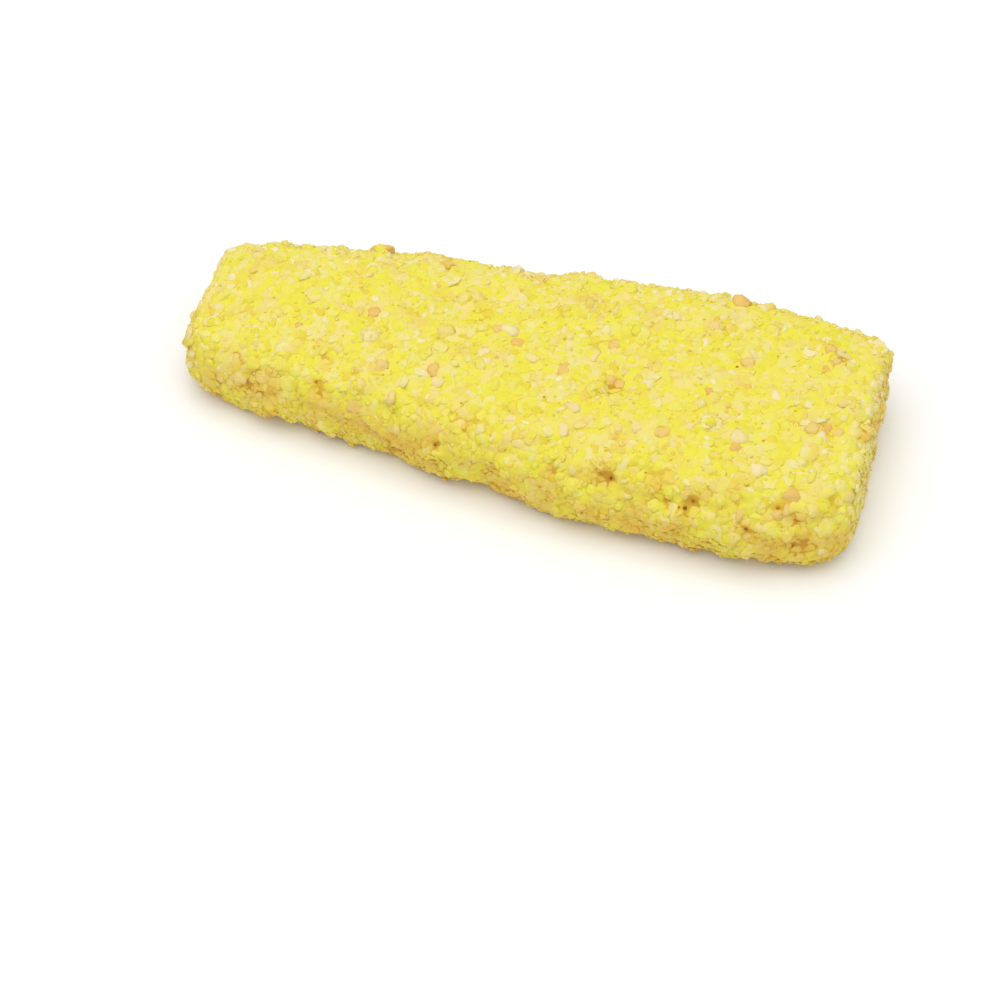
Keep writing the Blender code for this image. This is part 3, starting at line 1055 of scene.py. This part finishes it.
pale_chunks = placed_crumbs(
    "pale_chunks", PALE_CHUNKS, 21, 3, CHUNK_SPREAD, CHUNK_SUNK, pale_rusk, tones=UPPER_TONES
)
toasted_chunks = placed_crumbs(
    "toasted_chunks", TOASTED_CHUNKS, 22, 3, CHUNK_SPREAD, CHUNK_SUNK, toasted_rusk
)
dark_specks = placed_crumbs(
    "dark_specks", DARK_SPECKS, 23, 2, 1.0, SPECK_SUNK, burnt_batter, tones=UPPER_TONES
)
marks = bpy.data.meshes.new("large_crumb_marks")
cleared = []
for x, y, diameter in LARGE_MARKS:
    spot, normal = seat_at(x, y)
    outward = normal.orthogonal().normalized() * diameter * MM * CLEARED_SHARE
    cleared += [spot] + [
        spot + Matrix.Rotation(turn * 2 * math.pi / CLEARED_ROUND, 3, normal) @ outward
        for turn in range(CLEARED_ROUND)
    ]
marks.from_pydata(cleared, [], [])
large_crumbs = in_scene("large_crumb_marks", marks)
print("points to keep clear of:", len(cleared))

# %% [markdown]
# Now the trees go to work. The batter bed is a copy of the core with the relief raised on it. It
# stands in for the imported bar, and keeps its form to within about half a millimetre.

# %% Raise the relief on a copy of the core
bed = in_scene("bed", core.data.copy())
relief = bed.modifiers.new("relief", "NODES")
relief.node_group = crust_relief
set_inputs(
    relief,
    Crumb_pitch=1.7 * MM,
    Crumb_height=0.30 * MM,
    Crumb_level=-0.20 * MM,
    Side_level=-0.25 * MM,
    Grain_pitch=0.6 * MM,
    Grain_height=0.10 * MM,
    Lowest=0.22 * MM,
    Material=batter,
)
crust_bed = finished(bed, "crust_bed")
crust_bed.data.shade_smooth()
bpy.data.objects.remove(bed)
print("crust bed, faces:", len(crust_bed.data.polygons))

# %% [markdown]
# Then the crumbs, kind by kind, as sieves would sort them: a few broad flakes, the rusk crumbs
# that make up most of the crust, rim crumbs that stand out on the ends and the far side, fine
# crumbs between them, and a few toasted and burnt bits. A kind with a small top share lies
# mainly on the ends, the far side and the underside. All sizes are in millimetres.

# %% Scatter the other crumbs, kind by kind
def scattered(name, shapes, material, seed, spacing, smallest, largest,
              sunk=0.15, side_sunk=0.1, bare_from=0.6, tilt=0.2, thinnest=0.4, top_share=1.0,
              clearance=1.1):
    """One kind of crumb, spread over the core as a single mesh."""
    carrier = in_scene("carrier", core.data)
    modifier = carrier.modifiers.new("scatter", "NODES")
    modifier.node_group = scatter
    set_inputs(
        modifier,
        Shapes=shapes,
        Large_crumbs=large_crumbs,
        Clearance=clearance * MM,
        Spacing=spacing * MM,
        Seed=seed,
        Smallest=smallest * MM,
        Largest=largest * MM,
        Thinnest=thinnest,
        Sunk=sunk,
        Side_sunk=side_sunk,
        Bare_from=bare_from,
        Tilt=tilt,
        Top_share=top_share,
        Material=material,
    )
    piece = finished(carrier, name)
    bpy.data.objects.remove(carrier)
    print(name, "faces:", len(piece.data.polygons))
    return piece


LAID_RUSK = {"sunk": 0.16, "bare_from": 0.70, "tilt": 0.18, "thinnest": 0.32}
FINE_CRUMB = {
    "spacing": 0.85, "smallest": 0.55, "largest": 1.1, "sunk": 0.1, "side_sunk": -0.1,
    "tilt": 0.8, "thinnest": 0.6, "top_share": 0.12, "clearance": 0.8,
}
crumbs = [
    scattered("flakes", chunk_shapes, pale_rusk, seed=50, spacing=4.4,
              smallest=3.6, largest=5.2, sunk=0.12, thinnest=0.28),
    scattered("rusk_a", rusk_shapes, pale_rusk, seed=100, spacing=1.85,
              smallest=2.9, largest=4.2, **LAID_RUSK),
    scattered("rusk_b", rusk_shapes, golden_rusk, seed=200, spacing=1.75,
              smallest=2.5, largest=3.8, **LAID_RUSK),
    scattered("rusk_c", rusk_shapes, pale_rusk, seed=300, spacing=1.65,
              smallest=1.8, largest=3.0, sunk=0.16, side_sunk=0.0,
              bare_from=0.68, tilt=0.3, top_share=0.6),
    scattered("rim_crumbs", rusk_shapes, pale_rusk, seed=350, spacing=2.1,
              smallest=1.6, largest=2.8, sunk=0.0, side_sunk=-0.08,
              bare_from=0.63, tilt=0.5, thinnest=0.5, top_share=0.0),
    scattered("fine_a", fine_shapes, pale_rusk, seed=400, **FINE_CRUMB),
    scattered("fine_b", fine_shapes, golden_rusk, seed=500, **FINE_CRUMB),
    scattered("toasted_bits", rusk_shapes, toasted_rusk, seed=600, spacing=4.8,
              smallest=1.3, largest=2.8, bare_from=1.0, top_share=0.3),
    scattered("burnt_bits", fine_shapes, burnt_batter, seed=700, spacing=6.5,
              smallest=0.4, largest=1.0, bare_from=1.0, top_share=0.1),
]

# %% [markdown]
# The photograph was lit from all round, with no hard shadow, as in a white tent. The tent is a
# plain white world, and one large softbox almost overhead gives the sides their shade. The floor
# is a sheet of white paper. The Standard view keeps the yellow as strong as in the photograph.

# %% Stage and light
PAPER_HALF = 1500 * MM
PAPER_ROUGHNESS = 0.9
TENT_STRENGTH = 0.555

floor_mesh = bpy.data.meshes.new("floor")
paper_sheet = bmesh.new()
bmesh.ops.create_grid(paper_sheet, size=PAPER_HALF)
paper_sheet.to_mesh(floor_mesh)
paper_sheet.free()
floor = in_scene("floor", floor_mesh)
paper = bpy.data.materials.new("white_paper")
paper.use_nodes = True
paper_shader = paper.node_tree.nodes["Principled BSDF"]
paper_shader.inputs["Base Color"].default_value = linear("FAFAFA")
paper_shader.inputs["Roughness"].default_value = PAPER_ROUGHNESS
floor_mesh.materials.append(paper)


def softbox(name, azimuth, elevation, distance, size, watts):
    """A square area light that looks at the bar from a direction."""
    data = bpy.data.lights.new(name, "AREA")
    data.shape = "SQUARE"
    data.size = size
    data.energy = watts
    light = in_scene(name, data)
    turn, rise = math.radians(azimuth), math.radians(elevation)
    place = distance * Vector((
        math.sin(turn) * math.cos(rise),
        -math.cos(turn) * math.cos(rise),
        math.sin(rise),
    ))
    light.location = place
    light.rotation_euler = place.to_track_quat("Z", "Y").to_euler()
    return light


key = softbox("key_softbox", azimuth=-30, elevation=84, distance=0.9, size=1.2, watts=7.2)
world = bpy.data.worlds.new("tent")
world.use_nodes = True
background = world.node_tree.nodes["Background"]
background.inputs["Color"].default_value = linear("FFFFFF")
background.inputs["Strength"].default_value = TENT_STRENGTH
bpy.context.scene.world = world
bpy.context.scene.view_settings.view_transform = "Standard"
print("softbox stands at, mm:", in_mm(key.location))

# %% [markdown]
# Last, what served only to build is removed, and every piece is tied to the frame: it rides on
# the one body, and the batter bed replaces the imported bar.

# %% Tie every piece to the frame
bpy.data.objects.remove(core)
bpy.data.objects.remove(large_crumbs)
pieces = [crust_bed, pale_chunks, toasted_chunks, dark_specks] + crumbs
for piece in pieces:
    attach(piece, BODY)
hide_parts(NODE)
print("pieces:", len(pieces), "faces:", sum(len(piece.data.polygons) for piece in pieces))
